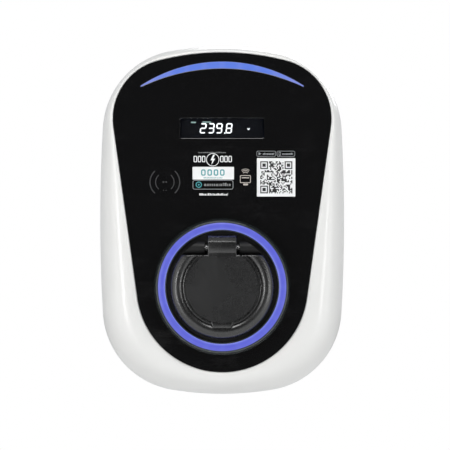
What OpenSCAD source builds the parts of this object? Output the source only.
// Wall-mounted electric vehicle charge point with a Type 2 socket outlet under a sprung flap.
// Frame: X to the right, Z up, the front faces -Y, the wall is the plane Y = 0, and the origin
// is the centre of the wall face. Parts are drawn flat, with height above the wall as depth,
// and upright() stands them up.

/* [Casing] */
// Width of the casing
body_w = 284; // [240:1:340]
// Height of the casing
body_h = 404; // [370:1:485]
// Radius of the long side curves
side_r = 1900; // [900:10:4000]
// Radius of the top and bottom curves
end_r = 358; // [300:1:600]
// Radius of the four corners
corner_r = 96; // [70:1:105]
// Depth of the rear housing, from the wall to the joint line
rear_d = 62; // [56:1:75]
// How far the front shell's crest stands in front of the joint line
shell_rise = 52; // [50:1:56]
// Wall of the casing
wall_t = 3; // [2.5:0.1:4]
// Thickness of the gasket between the housing and the shell
gasket_t = 0.6; // [0.4:0.1:1]
// Rounding of the housing's back edge
back_round = 7; // [4:1:10]

/* [Front panel] */
// White rim beside the panel at its widest
side_rim = 15.5; // [12:0.5:20]
// White rim above the panel
top_rim = 7.8; // [6:0.1:12]
// Radius of the panel's upper corners
panel_corner_r = 69.4; // [60:0.1:75]
// Radius of the panel's top curve
panel_top_r = 294; // [250:1:400]
// Thickness of the panel
panel_t = 3; // [2:0.5:4]
// How far the panel's face lies behind the shell's crest
panel_sink = 1.5; // [1:0.1:3]
// Width of the ledge that carries the panel
ledge_w = 8; // [7:0.5:8]
// Thickness of the ledge
ledge_t = 5; // [4:0.5:6]
// Thickness of the adhesive tape under the panel
tape_t = 0.5; // [0.3:0.1:1]
// Thickness of the inner frame's plates
frame_t = 2.5; // [2:0.5:3]
// Thickness of the inner frame's upright walls
frame_wall = 1.6; // [1.2:0.1:1.8]

/* [Socket ring and flap] */
// White rim below the panel
low_rim = 26; // [20:1:40]
// Radial width of the ring's outer wall
ring_wall = 4.8; // [4:0.1:8]
// How far the ring stands in front of the panel
ring_rise = 18.5; // [15:0.5:19]
// Panel left around the ring at the bottom
ring_border = 20; // [15:0.5:26]
// Radial width of the light guide
guide_w = 8.2; // [7:0.1:9]
// Gap between the flap and the light guide
flap_gap = 6; // [5.5:0.1:8]
// Radius of the flap
flap_r = 60; // [59:0.5:72]
// Height of the hinge pin above the socket's centre
pin_rise = 45.2; // [45:0.1:46]
// Radius of the hinge pin
pin_r = 1.5; // [1.2:0.1:1.8]
// Width of the flap's arm
arm_w = 33; // [28:0.5:34]
// Radius of the arm's barrel
barrel_r = 14.9; // [14:0.1:15]
// Radius of the hinge knuckles
knuckle_r = 7.7; // [6:0.1:7.8]
// Gap between the arm and each knuckle, where a spring sits
spring_gap = 3.6; // [3.4:0.1:4.5]

/* [Plug socket] */
// Radius of the plug well
well_r = 32.5; // [32:0.1:33.5]
// Height of the well's flat above its centre
well_flat = 22; // [21.5:0.1:23]
// Radius of the insulator
insulator_r = 27; // [26.5:0.1:27.5]
// Height of the insulator's flat above its centre
insulator_flat = 16.8; // [16.6:0.1:17.2]
// Inner radius of a power contact
power_r = 3.05; // [3:0.01:3.1]
// Inner radius of a pilot contact
pilot_r = 1.55; // [1.5:0.01:1.6]

/* [Wall bracket] */
// Width of the bracket
bracket_w = 150; // [140:1:170]
// Height of the bracket
bracket_h = 230; // [210:1:250]
// Sheet thickness of the bracket
bracket_t = 2; // [1.5:0.1:3]
// Distance between the wall screws across the bracket
wall_hole_x = 120; // [100:1:130]
// Distance between the wall screws up the bracket
wall_hole_z = 190; // [170:1:205]
// Radius of a wall screw hole
wall_hole_r = 3.5; // [2.5:0.1:4.5]

/* [Cable entry] */
// Radius of the hole through the cable grommet
cable_r = 8; // [5:0.5:10]
// Height of the cable entry above the casing's lowest point
cable_from_bottom = 55; // [48:1:60]

/* [Display and light bar] */
// Width of the display window
window_w = 97; // [60:1:100]
// Height of the display window
window_h = 23; // [18:1:30]
// Distance from the casing's top to the window's centre
window_from_top = 95.3; // [80:0.1:100]
// Height of the digits
digit_h = 12.4; // [8:0.1:14]
// Length of the light bar across
bar_w = 184; // [140:1:186]
// Distance from the casing's top to the light bar's top
bar_from_top = 20.6; // [20:0.1:30]
// Depth of the light bar at its middle
bar_t = 7.4; // [5:0.1:9]
// Depth of the light bar at its ends
bar_tip = 1.2; // [1:0.1:2]

/* [Power board] */
// Width of the power board
board_w = 150; // [120:1:155]
// Height of the power board
board_h = 130; // [125:1:140]
// Width of the control board
control_w = 128; // [126:1:134]
// Height of the control board
control_h = 60; // [50:1:66]

/* [Plug lock] */
// Teeth on the small wheel that drives the bolt's rack
small_teeth = 12; // [12:1:12]
// Tooth module of the small wheel and the rack
rack_module = 1; // [1:0.1:1]
// Teeth on the large wheel
large_teeth = 36; // [36:1:36]
// Teeth on the motor's pinion
motor_teeth = 10; // [10:1:10]
// Tooth module of the large wheel and the pinion
motor_module = 0.7; // [0.7:0.1:0.7]

/* [Hidden] */
$fn = 64;

// Clearances: sliding or turning fits, loose fits, and the smallest overlap that joins two forms
running = 0.05;
loose = 0.25;
bite = 0.4;
outline_steps = 120;

// Depths in front of the wall
hang_gap = 0.3;
back_depth = bracket_t + hang_gap;
floor_depth = back_depth + wall_t;
housing_rim = rear_d - gasket_t;
crest_depth = rear_d + shell_rise;
face_depth = crest_depth - panel_sink;
panel_back = face_depth - panel_t;
seat_depth = panel_back - tape_t;
ledge_back = seat_depth - ledge_t;
frame_back = ledge_back - frame_t;
ring_top = face_depth + ring_rise;
flange_rise = 11.5;
flange_depth = face_depth + flange_rise;
flange_t = 4;
pin_depth = flange_depth + 5.5;
// Height above the pin at which the arm's flat front meets its barrel
crease_rise = 6.1;
flap_face = pin_depth + sqrt(pow(barrel_r, 2) - pow(crease_rise, 2));

// Centres of the casing's curves
half_w = body_w / 2;
half_h = body_h / 2;
side_centre = [half_w - side_r, 0];
end_centre = [0, half_h - end_r];
corner_centre = circles_meet(side_centre, side_r - corner_r, end_centre, end_r - corner_r);

// Centres of the panel's curves
guide_in = flap_r + flap_gap;
guide_r = guide_in + guide_w;
ring_r = guide_r + ring_wall;
channel_r = (guide_in + guide_r) / 2;
bezel_in = guide_in - 1.2;
panel_low_r = ring_r + ring_border;
socket_z = low_rim + panel_low_r - half_h;
panel_low = [0, socket_z];
panel_top_centre = [0, half_h - top_rim - panel_top_r];
panel_corner_x = half_w - side_rim - panel_corner_r;
panel_corner = [panel_corner_x, panel_top_centre.y
    + sqrt(pow(panel_top_r - panel_corner_r, 2) - pow(panel_corner_x, 2))];
panel_slope = atan2(panel_corner.y - panel_low.y, panel_corner.x)
    - acos((panel_low_r - panel_corner_r) / norm(panel_corner - panel_low));

// Places of the inner groups
window_z = half_h - window_from_top;
lock_top = socket_z + 62;
board_z = (lock_top + half_h - 4) / 2;
board_depth = floor_depth + 12;
board_t = 1.6;
control_depth = frame_back - 13;
control_z = board_z + 22;
screw_angles = [0, 55, 125, 180, 235, 305];
tower_inset = 15;
frame_screw_angles = [20, 60, 120, 160, 232, 308];
safety_x = 45;
safety_z = 95;
hook_x = 50;
hook_z = 80;
hook_w = 24;
grommet_z = cable_from_bottom - half_h;

// Socket depths
socket_flange_depth = flange_depth - flange_t - 0.8;
well_back = socket_flange_depth - 50;
insulator_face = flange_depth - 8;
contact_back = well_back - 13;
socket_screw_x = 33;

// Type 2 contact places: two pilots above, three power contacts across, two below
pilot_places = [[-6.8, 11.4], [6.8, 11.4]];
power_places = [[-16.3, 0], [-9.2, -14.5], [0, 0], [9.2, -14.5], [16.3, 0]];

// Lock places, counted from the socket's centre
lock_y = 45;
rack_line = small_teeth * rack_module / 2;
bolt_half = 4;
gear_x = 12;
motor_x = gear_x + (large_teeth + motor_teeth) * motor_module / 2;
lock_back = well_back + 3;
lock_front = frame_back - 0.5;
wheel_depth = lock_back + 5;
bolt_depth = wheel_depth + 6;
bolt_t = 8;
lock_wall = 2;
lock_left = -11;
lock_right = motor_x + 13;
lock_low = well_flat + 2.8;
lock_high = 62;

// ---------- outlines ----------

function unit(a) = [cos(a), sin(a)];

// Meeting point, on the upper right, of two circles
function circles_meet(c1, r1, c2, r2) =
    let(gap = c2 - c1, d = norm(gap), along = (d * d + r1 * r1 - r2 * r2) / (2 * d),
        across = sqrt(r1 * r1 - along * along), u = gap / d,
        p = c1 + along * u + across * [-u.y, u.x], q = c1 + along * u - across * [-u.y, u.x])
    p.y > q.y ? p : q;

// Distance from the origin, along the direction u, to the far side of a circle
function ray_circle(u, c, r) = let(b = u * c) b + sqrt(max(0, b * b - c * c + r * r));

function angle_of(p) = atan2(p.y, p.x);

// Reach of the casing's outline at an angle, made smaller all round by an inset
function body_reach(a, inset = 0) =
    let(u = [abs(cos(a)), abs(sin(a))], phi = angle_of(u),
        top = end_centre + (end_r - inset) * (corner_centre - end_centre) / (end_r - corner_r),
        side = side_centre + (side_r - inset) * (corner_centre - side_centre) / (side_r - corner_r))
    phi > angle_of(top) ? ray_circle(u, end_centre, end_r - inset)
    : phi < angle_of(side) ? ray_circle(u, side_centre, side_r - inset)
    : ray_circle(u, corner_centre, corner_r - inset);

// Reach of the panel's outline at an angle
function panel_reach(a, inset = 0) =
    let(u = [abs(cos(a)), sin(a)], phi = angle_of(u), n = unit(panel_slope),
        top = panel_top_centre + (panel_top_r - inset) * (panel_corner - panel_top_centre)
            / (panel_top_r - panel_corner_r),
        high = panel_corner + (panel_corner_r - inset) * n,
        low = panel_low + (panel_low_r - inset) * n)
    phi > angle_of(top) ? ray_circle(u, panel_top_centre, panel_top_r - inset)
    : phi > angle_of(high) ? ray_circle(u, panel_corner, panel_corner_r - inset)
    : phi > angle_of(low) ? (n * panel_low + panel_low_r - inset) / (n * u)
    : ray_circle(u, panel_low, panel_low_r - inset);

outline_angles = [for (i = [0 : outline_steps - 1]) i * 360 / outline_steps];

function body_points(inset = 0) = [for (a = outline_angles) body_reach(a, inset) * unit(a)];
function panel_points(inset = 0) = [for (a = outline_angles) panel_reach(a, inset) * unit(a)];

// Reach and depth round the front shell's section: joint line, crown, lip, panel seat, inside
crown_steps = 8;
crown_power = 2 / 2.4;
function lip_w(a) = 1.2 + 2.3 * pow(max(0, -sin(a)), 4);
function crown(a, low, high, r0, r1) = [for (i = [0 : crown_steps])
    let(t = 90 * i / crown_steps)
    [r0 + (r1 - r0) * pow(cos(t), crown_power), low + (high - low) * pow(sin(t), crown_power)]];
function shell_section(a) =
    let(b = body_reach(a), p = panel_reach(a))
    concat(
        [[b, rear_d]],
        crown(a, rear_d + 6, crest_depth, p + lip_w(a), b),
        [[p + loose, face_depth - 0.2], [p + loose, seat_depth], [p - ledge_w, seat_depth],
            [p - ledge_w, ledge_back], [p + 3, ledge_back]],
        [for (i = [crown_steps : -2 : 0])
            crown(a, rear_d + 6, crest_depth - 4, p + 3, b - wall_t)[i]],
        [[b - wall_t, rear_d]]);
// Depth of the shell's outside at an inset from the casing's outline
function shell_depth(a, inset) =
    let(b = body_reach(a), p = panel_reach(a) + lip_w(a), s = (b - inset - p) / (b - p))
    rear_d + 6 + (shell_rise - 6) * pow(1 - pow(max(0, min(1, s)), 2.4), 1 / 2.4);

// Reach and depth round the rear housing's section: rounded back edge, joint line, inside
function housing_section(a) = let(b = body_reach(a)) concat(
    [for (t = [0 : 30 : 90]) [b - back_round * (1 - sin(t)), 0.8 + back_round * (1 - cos(t))]],
    [[b, housing_rim], [b - wall_t, housing_rim], [b - wall_t, floor_depth - 1],
        [b - back_round - wall_t, floor_depth - 1], [b - back_round - wall_t, 0.8]]);

// A closed ring swept through one section per angle
module lofted_ring(sections) {
    n = len(sections);
    m = len(sections[0]);
    points = [for (i = [0 : n - 1]) for (q = sections[i])
        [q[0] * cos(outline_angles[i]), q[0] * sin(outline_angles[i]), q[1]]];
    faces = [for (i = [0 : n - 1]) for (j = [0 : m - 1])
        let(i1 = (i + 1) % n, j1 = (j + 1) % m,
            a = i * m + j, b = i * m + j1, c = i1 * m + j1, d = i1 * m + j)
        each [[a, b, c], [a, c, d]]];
    polyhedron(points, faces, convexity = 6);
}

// ---------- placing ----------

// Turns depth in front of the wall into -Y and the drawing's height into Z
module upright() rotate([90, 0, 0]) children();
module at_socket() upright() translate([0, socket_z, 0]) children();
module at_pin() translate([0, pin_rise, pin_depth]) rotate([0, 90, 0]) children();
module slab(low, high) translate([0, 0, low]) linear_extrude(high - low) children();
module block(low, high) translate(low) cube(high - low);
module rounded(size, r) {
    translate([-size.x / 2 + r, -size.y / 2]) square([size.x - 2 * r, size.y]);
    translate([-size.x / 2, -size.y / 2 + r]) square([size.x, size.y - 2 * r]);
    for (x = [-1, 1], y = [-1, 1])
        translate([x * (size.x / 2 - r), y * (size.y / 2 - r)]) circle(r);
}
module post(r, low, high) translate([0, 0, low]) cylinder(r = r, h = high - low);
module tube(outer, inner, low, high) difference() {
    post(outer, low, high);
    post(inner, low - 1, high + 1);
}
// Places along the casing's outline, and along the panel's
module round_body(angles, inset) for (a = angles) translate(body_reach(a, inset) * unit(a)) children();
module round_panel(angles, inset) for (a = angles) translate(panel_reach(a, inset) * unit(a)) children();
// Outward place on the bottom edge, swung by an angle about the bottom curve's centre
module on_bottom(swing, depth)
    translate([-end_centre.x, -end_centre.y, depth]) rotate([0, 0, swing - 90])
    translate([end_r, 0, 0]) rotate([0, 90, 0]) children();
// A pan-head screw whose head seats at a depth; the shank goes to the front
module screw(r, head_r, head_h, seat, tip) difference() {
    union() {
        post(r, seat - head_h / 2, tip);
        post(head_r, seat - head_h, seat);
    }
    for (turn = [0, 90]) rotate([0, 0, turn])
        block([-head_r * 0.6, -0.35, seat - head_h - 1], [head_r * 0.6, 0.35, seat - head_h * 0.45]);
}
// A circle cut by a flat above its centre
module d_shape(r, flat_y) difference() {
    circle(r);
    translate([-r - 1, flat_y]) square([2 * r + 2, r + 1]);
}

// ---------- casing ----------

plug_r = 10;
plug_swing = -6;
vent_r = 6;
vent_swing = 6;
edge_depth = 34;

module wall_bracket() color("silver") upright() {
    difference() {
        slab(0, bracket_t) rounded([bracket_w, bracket_h], 8);
        for (x = [-1, 1], y = [-1, 1])
            translate([x * wall_hole_x / 2, y * wall_hole_z / 2]) post(wall_hole_r, -1, bracket_t + 1);
        slab(-1, bracket_t + 1) translate([0, -70]) rounded([46, 36], 5);
        for (x = [-1, 1]) translate([x * safety_x, -safety_z]) post(2.1, -1, bracket_t + 1);
    }
    // Bent hooks that carry the housing by the top edges of its slots
    for (x = [-hook_x, hook_x]) {
        block([x - hook_w / 2, hook_z - 2, bracket_t / 2], [x + hook_w / 2, hook_z, floor_depth + 2.3]);
        block([x - hook_w / 2, hook_z - 1, floor_depth + loose],
            [x + hook_w / 2, hook_z + 9, floor_depth + 2.3]);
    }
    // Threaded collars that meet the housing's back
    for (x = [-safety_x, safety_x]) translate([x, -safety_z]) tube(6, 2.1, bracket_t / 2, back_depth);
}

module safety_screws() color("gray") upright() for (x = [-safety_x, safety_x])
    translate([x, -safety_z, 0]) mirror([0, 0, 1])
        screw(2, 4.2, 2.8, -floor_depth, -0.4);

module towers(r, low, high) round_body(screw_angles, tower_inset) post(r, low, high);

module rear_housing() color([0.88, 0.88, 0.87]) upright() difference() {
    union() {
        lofted_ring([for (a = outline_angles) housing_section(a)]);
        slab(back_depth, floor_depth) polygon(body_points(wall_t - bite));
        towers(7, floor_depth - bite, housing_rim - 0.6);
        // Pads behind the edge plugs
        intersection() {
            union() {
                on_bottom(plug_swing, edge_depth) post(plug_r + 6, -9, 1);
                on_bottom(vent_swing, edge_depth) post(vent_r + 6, -9, 1);
            }
            slab(back_depth, housing_rim) polygon(body_points(1));
        }
        for (x = [-board_w / 2 + 8, board_w / 2 - 8], y = [-board_h / 2 + 8, board_h / 2 - 8])
            translate([x, board_z + y]) post(5, floor_depth - bite, floor_depth + 4);
    }
    towers(4.7, -1, 50);
    towers(2.25, 40, housing_rim + 1);
    for (x = [-hook_x, hook_x])
        block([x - hook_w / 2 - 2, hook_z - 14, 0], [x + hook_w / 2 + 2, hook_z, floor_depth + 1]);
    for (x = [-safety_x, safety_x]) translate([x, -safety_z]) post(2.3, 0, floor_depth + 1);
    translate([0, grommet_z]) post(14.1, 0, floor_depth + 1);
    on_bottom(plug_swing, edge_depth) {
        post(plug_r + 0.1, -30, 5);
        post(plug_r + 2.9, -1.9, 5);
    }
    on_bottom(vent_swing, edge_depth) {
        post(vent_r + 0.1, -30, 5);
        post(vent_r + 2.9, -1.9, 5);
    }
}

module housing_gasket() color([0.12, 0.12, 0.12]) upright() difference() {
    slab(housing_rim, rear_d) polygon(body_points(0.7));
    slab(housing_rim - 1, rear_d + 1) polygon(body_points(wall_t - 0.1));
}

module front_shell() color([0.92, 0.92, 0.91]) upright() difference() {
    union() {
        lofted_ring([for (a = outline_angles) shell_section(a)]);
        for (a = screw_angles) translate(body_reach(a, tower_inset) * unit(a))
            post(6, rear_d + loose, min(shell_depth(a, tower_inset - 6) - 1.6, ledge_back + bite));
    }
    towers(2.05, rear_d - 1, rear_d + 18);
    round_panel(frame_screw_angles, ledge_w / 2) post(1.25, ledge_back - 1, ledge_back + 3.6);
}

module shell_screws() color("silver") upright()
    round_body(screw_angles, tower_inset) screw(2, 3.9, 3.2, 50, rear_d + 14);

module cable_grommet() color([0.1, 0.1, 0.1]) upright() translate([0, grommet_z]) rotate_extrude()
    polygon([[cable_r, 0.4], [17, 0.4], [17, back_depth - 0.1], [14, back_depth - 0.1],
        [14, floor_depth + 0.1], [17, floor_depth + 0.1], [16, floor_depth + 2.4],
        [cable_r + 2.5, floor_depth + 9], [cable_r, floor_depth + 9]]);

module edge_plug(r) {
    difference() {
        union() {
            post(r + 2.7, -1.8, -0.5);
            post(r, -10, -1.2);
        }
        post(r - 2.2, -11, -4);
        block([-r, -0.8, -1.2], [r, 0.8, 0]);
    }
}
module entry_plug() color([0.86, 0.86, 0.85]) upright() on_bottom(plug_swing, edge_depth) edge_plug(plug_r);
module vent_plug() color([0.3, 0.3, 0.3]) upright() on_bottom(vent_swing, edge_depth) difference() {
    edge_plug(vent_r);
    for (turn = [0 : 60 : 359]) rotate([0, 0, turn]) translate([3.4, 0]) post(0.5, -5, 0);
}

// ---------- panel, frame, light bar and display ----------

bar_top = half_h - bar_from_top;
bar_drop = 27.4 * bar_w / 186;
frame_wall_in = ledge_w + 0.4;
reader_x = -64;
reader_z = window_z - 64;
shown_digits = [2, 3, 9, 8];

// Height of an arc at x, from the height of its middle, its drop at the bar's ends, and an offset
function arc_y(x, high, drop, grow) =
    let(r = (bar_w * bar_w / 4 + drop * drop) / (2 * drop)) high - r + sqrt(pow(r + grow, 2) - x * x);
bar_low = bar_top - bar_t;
bar_low_drop = bar_drop - bar_t + bar_tip;
function bar_x(f, grow) = (2 * f - 1) * (bar_w / 2 + grow);
function bar_points(grow) = let(steps = 28) concat(
    [for (i = [0 : steps]) [bar_x(i / steps, grow), arc_y(bar_x(i / steps, grow), bar_top, bar_drop, grow)]],
    [for (i = [steps : -1 : 0])
        [bar_x(i / steps, grow), arc_y(bar_x(i / steps, grow), bar_low, bar_low_drop, -grow)]]);

module panel_tape() color([0.15, 0.15, 0.15]) upright() difference() {
    slab(seat_depth, panel_back) polygon(panel_points(1));
    slab(seat_depth - 1, panel_back + 1) polygon(panel_points(ledge_w - 1));
}

module front_panel() color([0.05, 0.05, 0.05]) upright() difference() {
    slab(panel_back, face_depth) polygon(panel_points());
    slab(panel_back - 1, face_depth + 1) polygon(bar_points(0.25));
    slab(panel_back - 1, face_depth + 1) translate([0, window_z]) rounded([window_w + 0.4, window_h + 0.4], 2);
    translate([0, socket_z]) post(ring_r - 2.7, panel_back - 1, face_depth + 1);
}

module inner_frame() color([0.25, 0.25, 0.27]) upright() difference() {
    union() {
        difference() {
            slab(frame_back, ledge_back) polygon(panel_points());
            slab(frame_back - 1, ledge_back + 1) polygon(panel_points(frame_wall_in + frame_wall));
        }
        difference() {
            slab(ledge_back - bite, panel_back) polygon(panel_points(frame_wall_in));
            slab(ledge_back - 1, panel_back - frame_t) polygon(panel_points(frame_wall_in + frame_wall));
        }
        translate([0, socket_z]) post(ring_r - 2, frame_back, panel_back - bite);
        // Ribs across the back
        for (y = [window_z - 32, window_z + 32]) block([-88, y - 1.2, frame_back], [88, y + 1.2, panel_back - 1]);
        for (x = [-62, 62]) block([x - 1.2, window_z - 33, frame_back], [x + 1.2, window_z + 33, panel_back - 1]);
        // Posts for the control board and the reader board
        for (x = [-1, 1], y = [-1, 1]) {
            translate([x * (control_w / 2 - 6), control_z + y * (control_h / 2 - 5)])
                post(3.5, control_depth + board_t, panel_back - 1);
            translate([reader_x + x * 17, reader_z + y * 13]) post(2.4, frame_back + board_t, panel_back - 1);
        }
    }
    slab(panel_back - 4, panel_back + 1) polygon(bar_points(0.4));
    slab(frame_back - 1, panel_back + 1) translate([0, window_z]) rounded([window_w + 4.6, window_h + 4.6], 3);
    translate([0, socket_z]) post(bezel_in - 2.8, frame_back - 1, panel_back + 1);
    translate([0, socket_z]) for (a = [45 : 90 : 359]) rotate([0, 0, a]) translate([channel_r, 0])
        post(1.7, frame_back - 1, panel_back + 1);
    round_panel(frame_screw_angles, ledge_w / 2) post(1.7, frame_back - 1, ledge_back + 1);
    towers(6.6, frame_back - 1, ledge_back + 1);
}

module frame_screws() color("silver") upright()
    round_panel(frame_screw_angles, ledge_w / 2) screw(1.2, 2.7, 1.8, frame_back, ledge_back + 3.2);

module light_bar_lens() color([0.45, 0.55, 0.95]) upright() {
    slab(panel_back - 2.6, face_depth) polygon(bar_points(0));
    slab(panel_back - frame_t - 2.4, panel_back - frame_t - 0.1) polygon(bar_points(2.2));
}
module light_bar_board() color([0.1, 0.3, 0.15]) upright()
    slab(frame_back, frame_back + 1) polygon(bar_points(2.6));
module light_bar_leds() color([0.95, 0.95, 0.85]) upright() for (i = [1 : 15])
    let(x = bar_x(i / 16, 0), y = (arc_y(x, bar_top, bar_drop, 0) + arc_y(x, bar_low, bar_low_drop, 0)) / 2)
    slab(frame_back + 1, panel_back - frame_t - 2.5) translate([x, y]) square([2.4, 2.4], center = true);

module display_window() color([0.08, 0.1, 0.13, 0.6]) upright() translate([0, window_z]) {
    slab(panel_back - 1, face_depth) rounded([window_w, window_h], 1.8);
    slab(panel_back - frame_t, panel_back - 0.1) rounded([window_w + 4, window_h + 4], 2.8);
}
module display_board() color([0.1, 0.3, 0.15]) upright() translate([0, window_z]) {
    slab(frame_back - board_t, frame_back) rounded([window_w + 8, window_h + 16], 2);
    slab(frame_back - bite, panel_back - frame_t - 1) square([window_w - 4, window_h - 2], center = true);
}

// Seven strokes of a digit: across top, middle and low, then left and right, high and low
lit = [[1, 0, 1, 1, 1, 1, 1], [0, 0, 0, 0, 1, 0, 1], [1, 1, 1, 0, 1, 1, 0], [1, 1, 1, 0, 1, 0, 1],
    [0, 1, 0, 1, 1, 0, 1], [1, 1, 1, 1, 0, 0, 1], [1, 1, 1, 1, 0, 1, 1], [1, 0, 0, 0, 1, 0, 1],
    [1, 1, 1, 1, 1, 1, 1], [1, 1, 1, 1, 1, 0, 1]];
module digit(value, h) {
    w = h * 0.5;
    t = h * 0.13;
    on = lit[value];
    for (k = [0 : 2]) if (on[k])
        translate([t * 0.7, [h - t, (h - t) / 2, 0][k]]) square([w - 1.4 * t, t]);
    for (k = [0 : 3]) if (on[3 + k]) translate([k % 2 == 0 ? 0 : w - t, (k < 2 ? h / 2 : 0) + t * 0.6])
        square([t, h / 2 - 1.2 * t]);
}
module display_digits() color("white") upright()
    slab(panel_back - frame_t - 1, panel_back - frame_t - 0.5) translate([-26.6, window_z - digit_h / 2]) {
        for (i = [0 : 3]) translate([i * digit_h * 0.74 + (i == 3 ? 2.6 : 0), 0])
            digit(shown_digits[i], digit_h);
        translate([2.96 * digit_h - 7, 0]) square(1.6);
        translate([54, 4]) square([4, 1.2]);
        translate([-9, digit_h - 2]) square([5, 1.2]);
        translate([4, digit_h + 1.2]) square([9, 1.4]);
    }

module reader_board() color([0.1, 0.3, 0.2]) upright() translate([reader_x, reader_z]) {
    slab(frame_back, frame_back + board_t) rounded([42, 34], 2);
    difference() {
        slab(frame_back + board_t, frame_back + board_t + 0.5) square([26, 20], center = true);
        slab(frame_back + board_t - 1, frame_back + board_t + 1) square([19, 13], center = true);
    }
}

// ---------- ring ----------

channel_floor = ring_top - 13;
module ring_bezel() color([0.06, 0.06, 0.07]) at_socket() difference() {
    rotate_extrude() polygon([[ring_r, face_depth + 0.1], [ring_r - 0.6, face_depth + 5],
        [ring_r - 2.4, ring_top - 2], [ring_r - 3.4, ring_top], [guide_r, ring_top], [guide_r, channel_floor],
        [guide_in, channel_floor], [guide_in, ring_top], [bezel_in, ring_top], [bezel_in, panel_back],
        [ring_r - 3, panel_back], [ring_r - 3, face_depth + 0.1]]);
    for (a = [45 : 90 : 359]) rotate([0, 0, a]) translate([channel_r, 0]) post(1.35, panel_back - 1, channel_floor - 2);
}
module bezel_screws() color("silver") at_socket() for (a = [45 : 90 : 359]) rotate([0, 0, a])
    translate([channel_r, 0]) screw(1.3, 2.8, 1.8, frame_back, channel_floor - 3);
module ring_led_board() color([0.1, 0.3, 0.15]) at_socket()
    tube(guide_r - loose, guide_in + loose, channel_floor, channel_floor + 1.6);
module ring_leds() color([0.95, 0.95, 0.85]) at_socket() for (a = [0 : 15 : 359]) rotate([0, 0, a])
    translate([channel_r, 0, 0]) block([-1.4, -1.4, channel_floor + 1.6], [1.4, 1.4, channel_floor + 2.8]);
module ring_light_guide() color([0.42, 0.46, 0.95]) at_socket() rotate_extrude() difference() {
    union() {
        translate([guide_in + 0.15, channel_floor + 3]) square([guide_w - 0.3, 9.5]);
        translate([channel_r, channel_floor + 3.5]) circle(9.9, $fn = 96);
    }
    translate([0, -50]) square([200, channel_floor + 53]);
    translate([0, -50]) square([guide_in + 0.15, 300]);
    translate([guide_r - 0.15, -50]) square([60, 300]);
}

// ---------- socket flange and flap ----------

arm_half = arm_w / 2;
knuckle_in = arm_half + spring_gap;
chord = pin_rise - knuckle_r - 0.4;
flap_back = flange_depth + 2;
edge_tube_r = 8.6;
flap_t = 2.4;
disc_r = 41.7;
roll_drop = 11.6;
knuckle_out = 47;
grip_half = 12.9;
grip_tip_half = 10;
grip_reach = 47.6;
grip_drop = 1.1;

module socket_flange() color([0.13, 0.13, 0.14]) at_socket() difference() {
    union() {
        difference() {
            post(bezel_in - 0.3, panel_back, flange_depth);
            post(bezel_in - 2.8, panel_back - 1, flange_depth - flange_t);
        }
        // Hinge well, with its own walls
        intersection() {
            block([-arm_half - 2.6, 28, pin_depth - barrel_r - 2.6], [arm_half + 2.6, 64, flange_depth]);
            post(bezel_in - 0.3, 0, 200);
        }
        // Knuckles that hold the pin on each side of the arm
        intersection() {
            union() for (side = [-1, 1]) {
                near = side < 0 ? -knuckle_out : knuckle_in;
                at_pin() post(knuckle_r, near, near + knuckle_out - knuckle_in);
                translate([near, pin_rise - knuckle_r + 0.05, flange_depth - bite])
                    cube([knuckle_out - knuckle_in, 2 * knuckle_r - 0.1, pin_depth - flange_depth + bite]);
            }
            post(flap_r - 0.8, 0, 200);
        }
        for (x = [-1, 1], y = [-1, 1]) translate([x * socket_screw_x, y * socket_screw_x])
            post(5.4, flange_depth - flange_t - 0.6, flange_depth - 1);
    }
    slab(0, 200) d_shape(well_r + 1.5, well_flat + 1.5);
    at_pin() post(barrel_r + 0.4, -arm_half - 0.5, arm_half + 0.5);
    block([-arm_half - 0.5, 30.5, flange_depth - 3], [arm_half + 0.5, pin_rise, flange_depth + 1]);
    at_pin() post(pin_r + 0.02, -31, 31);
    for (x = [-1, 1], y = [-1, 1]) translate([x * socket_screw_x, y * socket_screw_x]) {
        post(1.9, 0, 200);
        post(3.8, flange_depth - 2.3, flange_depth + 1);
    }
}

// Ring between two D shapes whose flats keep the same distance as in the plug well
module d_tube(outer, inner, low, high) slab(low, high) difference() {
    d_shape(outer, outer - well_r + well_flat);
    d_shape(inner, inner - well_r + well_flat);
}
seal_in = well_r + 2.5;
seal_out = seal_in + 3.1;

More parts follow.
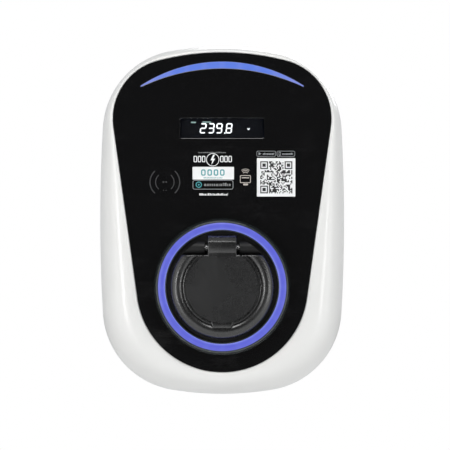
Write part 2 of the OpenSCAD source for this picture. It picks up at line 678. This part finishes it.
// Section of the lid: a rolled edge, a valley, and a flat disc in front
module lid_section(trim) {
    tube_r = edge_tube_r - trim;
    roll = flap_r - edge_tube_r;
    difference() {
        union() {
            translate([roll, flap_face - roll_drop]) circle(tube_r);
            translate([0, flap_back - 1]) square([flap_r - trim, 6]);
            translate([0, flap_back - 1]) square([roll, flap_face - flap_back - 4 - trim]);
            translate([0, flap_back - 1]) square([disc_r - trim, flap_face - flap_back + 1 - trim]);
        }
        translate([0, flap_back - 30]) square([100, 30]);
    }
}
module flap() color([0.19, 0.19, 0.19]) at_socket() difference() {
    union() {
        // Dished lid, cut straight below the pin
        difference() {
            rotate_extrude() lid_section(0);
            difference() {
                translate([0, 0, -0.01]) rotate_extrude() lid_section(flap_t);
                block([-70, chord - flap_t, 0], [70, 80, 200]);
            }
            block([-70, chord, 0], [70, 80, 200]);
        }
        // Arm from the disc to the barrel
        intersection() {
            block([-arm_half, 32, flap_back + 1], [arm_half, pin_rise + 3, flap_face]);
            union() {
                block([-50, 0, flap_face - 6], [50, pin_rise + 3, 200]);
                block([-50, chord - flap_t, 0], [50, pin_rise, 200]);
            }
        }
        at_pin() post(barrel_r, -arm_half, arm_half);
        // Finger grip on the lower edge of the disc
        slab(flap_face - 6, flap_face - grip_drop) polygon([[-grip_half, 1.9 - disc_r],
            [-grip_tip_half, -grip_reach], [grip_tip_half, -grip_reach], [grip_half, 1.9 - disc_r]]);
        // Collars that hold the seal
        d_tube(seal_out + 1.5, seal_out + 0.1, flap_back + 0.4, flap_face - flap_t + bite);
        d_tube(seal_in - 0.1, seal_in - 1.5, flap_back + 0.4, flap_face - flap_t + bite);
    }
    // The barrel is hollow between its end walls, and open towards the wall
    difference() {
        at_pin() post(barrel_r - flap_t, -arm_half + 4, arm_half - 4);
        at_pin() post(4, -arm_half, arm_half);
        block([-30, 0, 0], [30, chord, 200]);
    }
    block([-arm_half + 4, chord + 0.4, pin_depth - 20], [arm_half - 4, 70, pin_depth - 6]);
    at_pin() post(pin_r + running, -arm_half - 1, arm_half + 1);
}
module flap_seal() color([0.04, 0.04, 0.04]) at_socket()
    d_tube(seal_out, seal_in, flange_depth + 0.3, flap_face - flap_t);

module hinge_pin() color("silver") at_socket() at_pin() post(pin_r, -30.5, 30.5);
module flap_springs() color("gainsboro") at_socket() at_pin() for (side = [-1, 1], k = [0 : 2])
    translate([0, 0, side * (arm_half + 0.8 + k * 1.05)]) rotate_extrude() translate([3.6, 0]) circle(0.5);

// ---------- plug socket ----------

module socket_screw_places() for (x = [-1, 1], y = [-1, 1])
    translate([x * socket_screw_x, y * socket_screw_x]) children();

module socket_plate_shape() difference() {
    rounded([84, 84], 6);
    translate([-arm_half - 3.4, 27]) square([arm_w + 6.8, 30]);
    d_shape(well_r, well_flat);
}
module socket_body() color([0.15, 0.15, 0.16]) at_socket() difference() {
    union() {
        slab(socket_flange_depth - 3, socket_flange_depth) socket_plate_shape();
        slab(well_back - 3, socket_flange_depth) difference() {
            d_shape(well_r + 2.5, well_flat + 2.5);
            d_shape(well_r, well_flat);
        }
        slab(well_back - 3, well_back) d_shape(well_r + 1, well_flat + 1);
        socket_screw_places() post(4.4, socket_flange_depth - 9, socket_flange_depth - 1);
    }
    for (p = power_places) translate(p) post(5, 0, well_back + 1);
    for (p = pilot_places) translate(p) post(3.2, 0, well_back + 1);
    socket_screw_places() post(1.75, 0, 200);
    block([-bolt_half - 0.3, well_flat - 1, bolt_depth - 0.3],
        [rack_line - 1.2 + 0.3, well_flat + 4, bolt_depth + bolt_t + 0.3]);
}
module socket_gasket() color([0.05, 0.05, 0.05]) at_socket() difference() {
    slab(socket_flange_depth, flange_depth - flange_t) difference() {
        socket_plate_shape();
        d_shape(well_r + 1.5, well_flat + 1.5);
    }
    socket_screw_places() post(5.7, 0, 200);
}
module socket_screws() color("silver") at_socket() socket_screw_places() mirror([0, 0, 1])
    screw(1.7, 3.6, 2, -(flange_depth - 2.3), -(socket_flange_depth - 8));

// Island with the contact holes, and the ring that centres it in the well
module socket_insulator() color([0.2, 0.2, 0.21]) at_socket() difference() {
    union() {
        slab(well_back, insulator_face) d_shape(insulator_r, insulator_flat);
        slab(well_back, well_back + 4) difference() {
            d_shape(well_r - loose, well_flat - loose);
            d_shape(insulator_r + running, insulator_flat + running);
        }
    }
    for (p = power_places) translate(p) {
        post(power_r + 1.2, well_back - 1, insulator_face - 4);
        post(power_r + 0.3, 0, 200);
    }
    for (p = pilot_places) translate(p) {
        post(pilot_r + 1.0, well_back - 1, insulator_face - 4);
        post(pilot_r + 0.3, 0, 200);
    }
}
module sleeve(inner, wall) difference() {
    union() {
        post(inner + wall, well_back - 8, insulator_face - 4.2);
        post(inner + wall - 0.9, contact_back, well_back - 7);
    }
    post(inner, well_back + 6, 200);
}
module socket_contacts() color([0.85, 0.85, 0.8]) at_socket() {
    for (p = power_places) translate(p) sleeve(power_r, 1.15);
    for (p = pilot_places) translate(p) sleeve(pilot_r, 0.95);
}
module socket_rear_cap() color([0.2, 0.2, 0.2]) at_socket() difference() {
    slab(well_back - 24, well_back - 3.1) d_shape(well_r + 2.5, well_flat + 2.5);
    slab(well_back - 22, well_back) d_shape(well_r + 0.5, well_flat + 0.5);
    block([-26, well_flat - 8, well_back - 21], [26, well_flat + 10, well_back - 10]);
}

// ---------- plug lock ----------

// Swing of an involute between its base circle and a radius, in degrees
function involute_swing(rb, r) = r <= rb ? 0 : let(t = sqrt(r * r / rb / rb - 1)) t * 180 / PI - atan(t);
// Outline of a gear with 20 degree involute teeth; one tooth points along +X
function gear_points(teeth, m, head, foot, slack) =
    let(rp = teeth * m / 2, rb = rp * cos(20), ra = rp + head, rf = rp - foot,
        half = 90 / teeth - slack / rp * 90 / PI + involute_swing(rb, rp),
        radii = [rf, max(rf + 0.05, rb), (max(rf, rb) + rp) / 2, rp, (rp + ra) / 2, ra])
    [for (i = [0 : teeth - 1]) let(mid = i * 360 / teeth) each concat(
        [for (r = radii) r * unit(mid - half + involute_swing(rb, r))],
        [for (k = [5 : -1 : 0]) radii[k] * unit(mid + half - involute_swing(rb, radii[k]))])];

module lock_gear() color("ivory") at_socket() translate([gear_x, lock_y]) difference() {
    union() {
        slab(wheel_depth, wheel_depth + 4) polygon(gear_points(large_teeth, motor_module, 0.42, 0.95, 0.12));
        slab(wheel_depth + 3, bolt_depth + bolt_t)
            polygon(gear_points(small_teeth, rack_module, 0.85, 1.15, 0.12));
    }
    post(pin_r + running, 0, 200);
}
module lock_axle() color("silver") at_socket() translate([gear_x, lock_y])
    post(pin_r, lock_back + 0.4, lock_front - 0.4);
module lock_pinion() color("goldenrod") at_socket() translate([motor_x, lock_y]) {
    slab(wheel_depth - 0.5, wheel_depth + 4.5) rotate([0, 0, 180 / motor_teeth])
        polygon(gear_points(motor_teeth, motor_module, 0.65, 0.75, 0.12));
    post(0.9, wheel_depth + 4, wheel_depth + 12);
}
module lock_motor() color("silver") at_socket() translate([motor_x, lock_y]) difference() {
    union() {
        post(7.6, wheel_depth + 6.5, lock_front - 2.4);
        post(3, wheel_depth + 5.4, wheel_depth + 7);
    }
    post(0.95, 0, wheel_depth + 14);
}
module lock_bolt() color([0.75, 0.75, 0.72]) at_socket() {
    rack_root = gear_x - rack_line - 1.2;
    slab(bolt_depth, bolt_depth + bolt_t) {
        translate([-bolt_half, well_flat + 1.2]) square([rack_root + bolt_half, 58 - well_flat - 1.2]);
        for (k = [-2 : 3]) let(y = lock_y + (k + 0.5) * PI * rack_module, pitch_x = gear_x - rack_line)
            polygon([[rack_root - bite, y - 1.12], [rack_root, y - 1.12], [pitch_x + 0.6, y - 0.47],
                [pitch_x + 0.6, y + 0.47], [rack_root, y + 1.12], [rack_root - bite, y + 1.12]]);
    }
}
module lock_corners() for (p = [[lock_left + 3, lock_high - 3], [lock_right - 3, lock_high - 3],
    [lock_right - 3, lock_low + 3]]) translate(p) children();
module lock_housing() color([0.2, 0.2, 0.22]) at_socket() difference() {
    union() {
        difference() {
            block([lock_left, lock_low, lock_back + lock_wall], [lock_right, lock_high, lock_front]);
            block([lock_left + lock_wall, lock_low + lock_wall, lock_back],
                [lock_right - lock_wall, lock_high - lock_wall, lock_front - lock_wall]);
        }
        translate([gear_x, lock_y]) post(3.4, bolt_depth + bolt_t + 0.3, lock_front - 1);
        lock_corners() post(2.6, lock_back + lock_wall, lock_front - 1);
        // Guides on both sides of the bolt
        block([lock_left + 1, lock_low + 1, bolt_depth], [-bolt_half - 0.2, lock_high - 8, bolt_depth + bolt_t]);
    }
    block([-bolt_half - 0.25, lock_low - 1, bolt_depth - 0.25],
        [rack_line, lock_low + lock_wall + 1, bolt_depth + bolt_t + 0.25]);
    translate([gear_x, lock_y]) post(pin_r + 0.02, lock_back, lock_front - 0.3);
    translate([motor_x, lock_y]) post(7.7, 0, lock_front - lock_wall);
    lock_corners() post(1.1, lock_back, lock_back + 12);
}
module lock_cover() color([0.25, 0.25, 0.27]) at_socket() difference() {
    union() {
        block([lock_left, lock_low, lock_back], [lock_right, lock_high, lock_back + lock_wall - 0.05]);
        translate([gear_x, lock_y]) post(3.4, lock_back + 1, wheel_depth - 0.3);
    }
    translate([gear_x, lock_y]) post(pin_r + 0.02, lock_back + 0.3, 200);
    lock_corners() post(1.3, lock_back - 1, lock_back + 5);
}
module lock_screws() color("silver") at_socket() lock_corners() screw(1.05, 2.1, 1.4, lock_back, lock_back + 10);

// ---------- electronics ----------

part_depth = board_depth + board_t;
function board_corner(x, y) = [x * (board_w / 2 - 8), board_z + y * (board_h / 2 - 8)];
module board_corners() for (x = [-1, 1], y = [-1, 1]) translate(board_corner(x, y)) children();
module control_corners() for (x = [-1, 1], y = [-1, 1])
    translate([x * (control_w / 2 - 6), control_z + y * (control_h / 2 - 5)]) children();
module on_board(x, y) upright() translate([x, board_z + y, 0]) children();

module power_board() color([0.05, 0.35, 0.2]) upright() difference() {
    slab(board_depth, part_depth) translate([0, board_z]) rounded([board_w, board_h], 3);
    board_corners() post(2.2, 0, 200);
}
module board_posts() color("goldenrod") upright() board_corners() tube(3.2, 1.6, floor_depth + 4, board_depth);
module board_screws() color("silver") upright() {
    board_corners() mirror([0, 0, 1]) screw(1.5, 3, 2, -part_depth, -(floor_depth + 6));
    control_corners() screw(1.1, 2.4, 1.6, control_depth, control_depth + board_t - 0.1);
}
module relays() color([0.15, 0.15, 0.17]) for (x = [-44, -12, 20]) on_board(x, 34)
    slab(part_depth, part_depth + 21) rounded([27, 33], 1.2);
module power_supply() color([0.1, 0.1, 0.12]) on_board(-42, -8)
    slab(part_depth, part_depth + 23) rounded([44, 30], 1.5);
module current_sensor() color([0.2, 0.25, 0.5]) on_board(38, -6) translate([0, 0, part_depth + 14.5])
    rotate([90, 0, 0]) rotate_extrude() translate([10, 0]) rounded([8.4, 12], 1);
module terminal_block() color([0.35, 0.4, 0.4]) on_board(0, -board_h / 2 + 16) difference() {
    slab(part_depth, part_depth + 22) rounded([64, 20], 1);
    for (i = [-2 : 2]) translate([i * 12, 0]) {
        post(3.4, part_depth + 14, 200);
        block([-4, -12, part_depth + 3], [4, -4, part_depth + 12]);
    }
}
module terminal_screws() color("silver") on_board(0, -board_h / 2 + 16) for (i = [-2 : 2]) translate([i * 12, 0])
    difference() {
        post(3.2, part_depth + 14, part_depth + 18);
        block([-3.4, -0.5, part_depth + 16.6], [3.4, 0.5, part_depth + 19]);
    }
module capacitors() color([0.1, 0.12, 0.3]) for (x = [54, 66]) on_board(x, 40) difference() {
    post(5, part_depth, part_depth + 20);
    difference() {
        post(6, part_depth + 2.4, part_depth + 3.2);
        post(4.6, part_depth + 2, part_depth + 4);
    }
}
module control_board() color([0.06, 0.25, 0.4]) upright() difference() {
    slab(control_depth, control_depth + board_t) translate([0, control_z]) rounded([control_w, control_h], 2);
    control_corners() post(1.4, 0, 200);
}
module control_chips() color([0.08, 0.08, 0.08]) upright() translate([0, control_z]) {
    for (c = [[-26, 6, 20, 20], [4, 8, 14, 14], [30, -8, 18, 12], [-4, -16, 10, 8]])
        slab(control_depth - 2, control_depth) translate([c[0], c[1]]) square([c[2], c[3]], center = true);
    slab(control_depth - 9, control_depth) translate([8, -control_h / 2 + 5]) square([26, 8], center = true);
}
module antenna() color([0.7, 0.6, 0.3]) upright() translate([control_w / 2 - 16, control_z + 14]) {
    slab(control_depth - 3, control_depth) square([16, 18], center = true);
    slab(control_depth - 3.6, control_depth - 2.9) translate([-5, -6]) square([10, 9]);
}
module buzzer() color([0.08, 0.08, 0.08]) upright() translate([-control_w / 2 + 14, control_z - 12])
    tube(6, 1.2, control_depth - 8, control_depth);

// A point on a smooth curve through points p, at a fraction t of the way from point i to i + 1
function smooth(p, i, t) =
    let(a = p[max(i - 1, 0)], b = p[i], c = p[i + 1], d = p[min(i + 2, len(p) - 1)])
    0.5 * (2 * b + (c - a) * t + (2 * a - 5 * b + 4 * c - d) * t * t + (3 * b - a - 3 * c + d) * t * t * t);
wire_sides = 8;
module wire(route, r) {
    steps = 4;
    path = concat([for (i = [0 : len(route) - 2]) for (k = [0 : steps - 1]) smooth(route, i, k / steps)],
        [route[len(route) - 1]]);
    n = len(path);
    points = [for (i = [0 : n - 1])
        let(d = i == 0 ? [0, -1, 0] : i == n - 1 ? [0, 0, 1] : path[i + 1] - path[i - 1],
            side = [1, 0, 0], up = cross(d, side) / norm(cross(d, side)))
        for (k = [0 : wire_sides - 1])
            path[i] + r * (cos(360 * k / wire_sides) * side + sin(360 * k / wire_sides) * up)];
    faces = concat([[for (k = [0 : wire_sides - 1]) k]],
        [for (i = [0 : n - 2]) for (k = [0 : wire_sides - 1]) let(k1 = (k + 1) % wire_sides)
            [i * wire_sides + k, (i + 1) * wire_sides + k, (i + 1) * wire_sides + k1, i * wire_sides + k1]],
        [[for (k = [wire_sides - 1 : -1 : 0]) (n - 1) * wire_sides + k]]);
    polyhedron(points, faces, convexity = 4);
}
wire_colors = ["steelblue", "gray", "limegreen", "black", "sienna"];
module power_wires() upright() for (i = [0 : 4])
    let(p = power_places[i], out = socket_z + well_flat, x = (i - 2) * 12, low = board_z - board_h / 2)
    color(wire_colors[i])
        wire([[x, low + 11.9, part_depth + 7.5], [x, low + 1, part_depth + 9], [x * 0.9, low - 18, part_depth + 16],
            [x * 0.8, out + 16, well_back - 17], [p.x, out - 2, well_back - 16],
            [p.x, (out - 2 + socket_z + p.y) / 2, well_back - 16.5],
            [p.x, socket_z + p.y + 1.5, well_back - 16.2], [p.x, socket_z + p.y, contact_back]], 2.1);

// ---------- printed labels ----------

label_t = 0.15;
label_w = 48;
label_h = 14.7;
code_w = 44.5;
module id_label() color("white") upright() slab(face_depth, face_depth + label_t)
    translate([-10.3, window_z - 52.2]) square([label_w, label_h], center = true);
module code_label() color("white") upright() slab(face_depth, face_depth + label_t)
    translate([62.5, window_z - 57]) square([code_w, code_w], center = true);

// ---------- nodes ----------

wall_bracket();
safety_screws();
rear_housing();
housing_gasket();
front_shell();
shell_screws();
panel_tape();
front_panel();
inner_frame();
frame_screws();
light_bar_lens();
light_bar_board();
light_bar_leds();
display_window();
display_board();
display_digits();
reader_board();
ring_bezel();
bezel_screws();
ring_light_guide();
ring_led_board();
ring_leds();
socket_flange();
flap();
flap_seal();
hinge_pin();
flap_springs();
socket_body();
socket_insulator();
socket_contacts();
socket_rear_cap();
socket_gasket();
socket_screws();
lock_housing();
lock_cover();
lock_screws();
lock_motor();
lock_pinion();
lock_gear();
lock_axle();
lock_bolt();
power_board();
board_posts();
board_screws();
relays();
power_supply();
current_sensor();
terminal_block();
terminal_screws();
capacitors();
control_board();
control_chips();
antenna();
buzzer();
power_wires();
cable_grommet();
entry_plug();
vent_plug();
id_label();
code_label();
